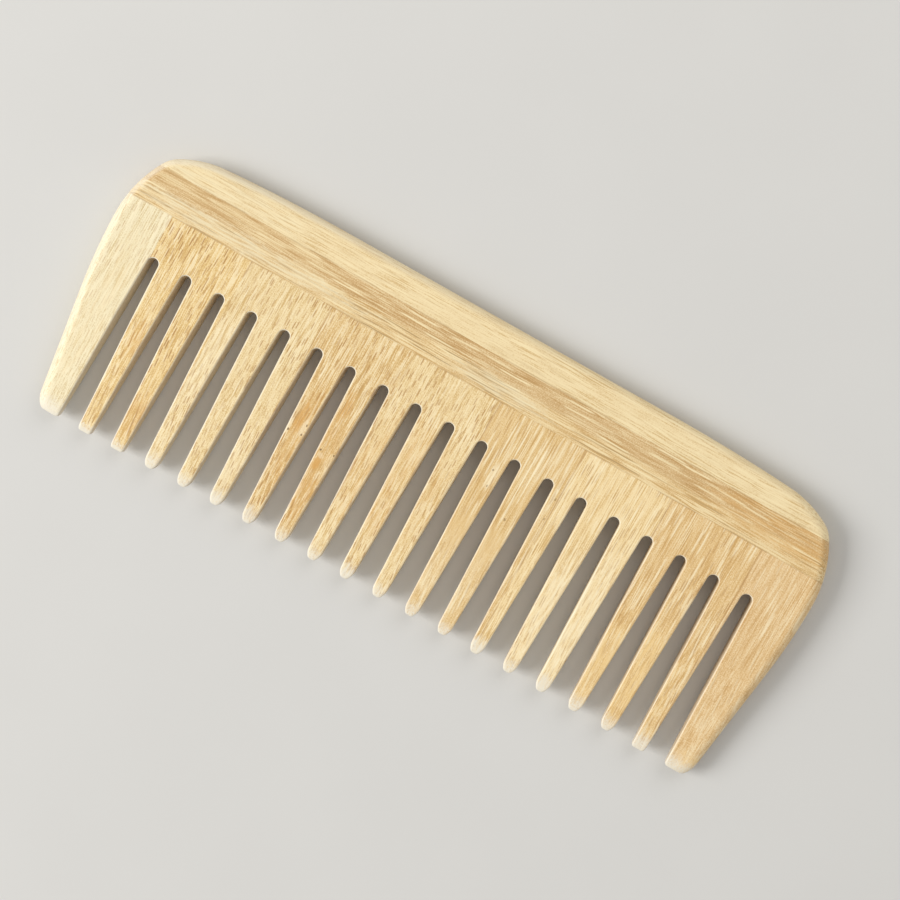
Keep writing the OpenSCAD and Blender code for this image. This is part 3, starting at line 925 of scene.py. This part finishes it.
class COMB_OT_spine_strips(bpy.types.Operator):
    """Cut the two strips along the spine from the board"""
    bl_idname = "comb.spine_strips"
    bl_label = "Cut the spine strips"
    bl_options = {"REGISTER", "UNDO"}

    def execute(self, context):
        edge, inner = [look for look in GRAINS if look.turn == ALONG_COMB]
        cut_strip(context, edge, below=True)
        cut_strip(context, inner, below=True, above=True)
        return {"FINISHED"}


class COMB_OT_tooth_strips(bpy.types.Operator):
    """Cut the nine upright strips, with all the teeth, from the board"""
    bl_idname = "comb.tooth_strips"
    bl_label = "Cut the tooth strips"
    bl_options = {"REGISTER", "UNDO"}

    def execute(self, context):
        uprights = [look for look in GRAINS if look.turn == ALONG_TEETH]
        for look in uprights:
            cut_strip(context, look, left=look != uprights[0], right=look != uprights[-1], above=True)
        return {"FINISHED"}


class COMB_OT_clear_board(bpy.types.Operator):
    """Take away the whole board once its strips are cut"""
    bl_idname = "comb.clear_board"
    bl_label = "Clear the board away"
    bl_options = {"REGISTER", "UNDO"}

    def execute(self, context):
        select_only(bpy.data.objects[BOARD])
        bpy.ops.object.delete()
        return {"FINISHED"}


# Stage

# Where each light stands, and how wide the lights and the floor are, in metres
KEY_PLACE = (-0.95, -0.41, 0.76)
KEY_W = 0.68
FILL_PLACE = (0.2, 0.6, 0.5)
FILL_W = 0.6
FLOOR_W = 3
LAMP_TINT = (1.0, 0.98, 0.95)
SKY_TINT = (1.0, 0.98, 0.94)

# The paper on the floor: how dark its mottle is, the cells in a metre, and its roughness
PAPER_SHADE = 0.985
PAPER_CELLS = 30
PAPER_ROUGHNESS = 0.85

# The camera's sensor in millimetres, and the nearest that it sees, in metres
SENSOR_MM = 36
CLIP_START = 0.01


def floor_paper(tone):
    """Plain matt paper with a faint mottle"""
    nodes = Nodes("floor_paper")
    place = nodes.add("ShaderNodeTexCoord", {}).outputs["Object"]
    mottle = nodes.noise(nodes.mapped(place, scale=(PAPER_CELLS,) * 3), 4.0)
    colour = nodes.mix(nodes.step(mottle, 0.3, 0.7), [PAPER_SHADE * part for part in tone], tone)
    shader = nodes.add("ShaderNodeBsdfPrincipled", {"Base Color": colour, "Roughness": PAPER_ROUGHNESS})
    nodes.add("ShaderNodeOutputMaterial", {"Surface": shader.outputs["BSDF"]})
    return nodes.material


def soft_light(name, place, width, power):
    """A square area light that faces the comb"""
    turn = (-Vector(place)).to_track_quat("-Z", "Y").to_euler()
    bpy.ops.object.select_all(action="DESELECT")
    bpy.ops.object.light_add(type="AREA", location=place, rotation=turn)
    light = bpy.context.object
    light.name = name
    light.data.shape = "SQUARE"
    light.data.size = width
    light.data.energy = power
    light.data.color = LAMP_TINT


class COMB_OT_stage(bpy.types.Operator):
    """Lay the floor, set up the lights and place the camera"""
    bl_idname = "comb.stage"
    bl_label = "Set the stage"
    bl_options = {"REGISTER", "UNDO"}

    def execute(self, context):
        stage = context.scene.comb_stage
        bpy.ops.object.select_all(action="DESELECT")
        bpy.ops.mesh.primitive_plane_add(size=FLOOR_W, location=(0, 0, BACK_Z))
        floor = context.object
        floor.name = "floor"
        floor.data.materials.append(floor_paper(stage.floor_tone))

        soft_light("key_light", KEY_PLACE, KEY_W, stage.key_power)
        soft_light("fill_light", FILL_PLACE, FILL_W, stage.fill_power)
        world = bpy.data.worlds.new("soft_sky")
        world.use_nodes = True
        background = world.node_tree.nodes["Background"]
        background.inputs["Color"].default_value = four(SKY_TINT)
        background.inputs["Strength"].default_value = stage.sky_strength
        context.scene.world = world

        bpy.ops.object.select_all(action="DESELECT")
        bpy.ops.object.camera_add(location=stage.camera_place, rotation=stage.camera_turn)
        camera = context.object
        camera.name = "camera"
        camera.data.lens = stage.lens_mm
        camera.data.sensor_width = SENSOR_MM
        camera.data.clip_start = CLIP_START
        context.scene.camera = camera
        context.scene.view_settings.view_transform = "Standard"
        return {"FINISHED"}


class COMB_PT_panel(bpy.types.Panel):
    """Buttons and settings of the comb, in the sidebar"""
    bl_idname = "COMB_PT_panel"
    bl_label = "Bamboo Comb"
    bl_space_type = "VIEW_3D"
    bl_region_type = "UI"
    bl_category = "Comb"

    def draw(self, context):
        for operator in OPERATORS:
            self.layout.operator(operator.bl_idname)
        for group in SETTINGS:
            box = self.layout.box()
            settings = getattr(context.scene, group)
            for name in settings.__annotations__:
                box.prop(settings, name)


OPERATORS = (COMB_OT_board, COMB_OT_spine_strips, COMB_OT_tooth_strips, COMB_OT_clear_board, COMB_OT_stage)
SETTINGS = {"comb_shape": CombShape, "comb_tones": BambooTones, "comb_stage": CombStage}
CLASSES = (*SETTINGS.values(), *OPERATORS, COMB_PT_panel)


def register():
    for cls in CLASSES:
        bpy.utils.register_class(cls)
    for name, group in SETTINGS.items():
        setattr(bpy.types.Scene, name, PointerProperty(type=group))


def unregister():
    for name in SETTINGS:
        delattr(bpy.types.Scene, name)
    for cls in reversed(CLASSES):
        bpy.utils.unregister_class(cls)


def main():
    register()
    bpy.ops.comb.board()
    bpy.ops.comb.spine_strips()
    bpy.ops.comb.tooth_strips()
    bpy.ops.comb.clear_board()
    bpy.ops.comb.stage()


if __name__ == "__main__":
    main()
